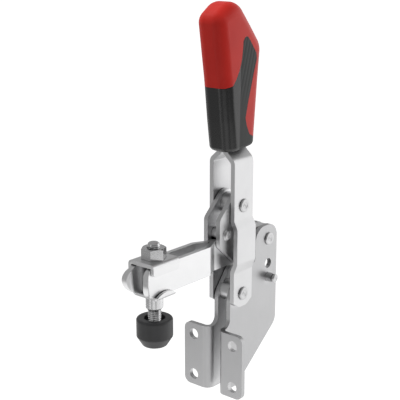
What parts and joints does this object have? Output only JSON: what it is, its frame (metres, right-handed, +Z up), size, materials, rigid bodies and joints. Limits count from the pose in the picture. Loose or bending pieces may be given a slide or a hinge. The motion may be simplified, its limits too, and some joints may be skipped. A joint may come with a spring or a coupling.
{
  "type": "toggle clamp",
  "caption": "Toggle clamp with an upright handle, a forked clamping arm, a rubber-capped clamping screw and an angle base",
  "frame": {"origin": "centre of the four mounting holes, on the front face of the flanges", "axes": "+X forward along the clamping arm and out of the flange face, +Y to the left, +Z up along the handle"},
  "size_m": [0.1266, 0.0464, 0.2427],
  "materials": {
    "zinc_steel": "bright zinc-plated pressed sheet steel",
    "rivet_steel": "zinc-plated steel rivets, bushes and pins",
    "fastener_steel": "zinc-plated turned steel",
    "red_plastic": "satin moulded red plastic",
    "black_plastic": "satin soft black plastic",
    "cap_rubber": "matte black rubber"
  },
  "bodies": {
    "base": {"base_plate_left": "zinc_steel", "base_plate_right": "zinc_steel", "arm_pivot_rivet": "rivet_steel", "lever_pivot_rivet": "rivet_steel", "lever_pivot_bush": "rivet_steel", "stop_pin": "rivet_steel"},
    "arm": {"arm_half_left": "zinc_steel", "arm_half_right": "zinc_steel"},
    "link": {"link_plate_left": "zinc_steel", "link_plate_right": "zinc_steel", "link_arm_rivet": "rivet_steel", "link_stop_rivet": "rivet_steel", "link_stop_spacer": "rivet_steel", "link_bush": "rivet_steel"},
    "lever": {"lever_bar_left": "zinc_steel", "lever_bar_right": "zinc_steel", "link_lever_rivet_left": "rivet_steel", "link_lever_rivet_right": "rivet_steel", "grip_red_shell": "red_plastic", "grip_black_body": "black_plastic"},
    "spindle_set": {"upper_flanged_washer": "zinc_steel", "lower_flanged_washer": "zinc_steel", "clamping_nut": "fastener_steel", "collar_nut": "fastener_steel"},
    "screw": {"clamping_screw": "fastener_steel", "pressure_cap": "cap_rubber"}
  },
  "joints": [
    {"name": "lever_hinge", "type": "hinge", "parent": "base", "child": "lever", "pos_m": [-0.0175, 0, 0.0422], "axis": [0, -1, 0], "range_deg": [0, 61]},
    {"name": "arm_hinge", "type": "hinge", "parent": "base", "child": "arm", "pos_m": [-0.0486, 0, 0.07], "axis": [0, -1, 0], "range_deg": [0, 112.8]},
    {"name": "link_hinge", "type": "hinge", "parent": "arm", "child": "link", "pos_m": [-0.018, 0, 0.07], "axis": [0, -1, 0], "range_deg": [0, 54.53]},
    {"name": "spindle_slide", "type": "slide", "parent": "arm", "child": "spindle_set", "axis": [1, 0, 0], "range_m": [-0.027, 0.001]},
    {"name": "screw_height", "type": "slide", "parent": "spindle_set", "child": "screw", "axis": [0, 0, 1], "range_m": [-0.003, 0.007]}
  ],
  "couplings": [
    {"joint": "arm_hinge", "follows": "lever_hinge", "ratio": 1.849},
    {"joint": "link_hinge", "follows": "lever_hinge", "ratio": 0.89384}
  ]
}
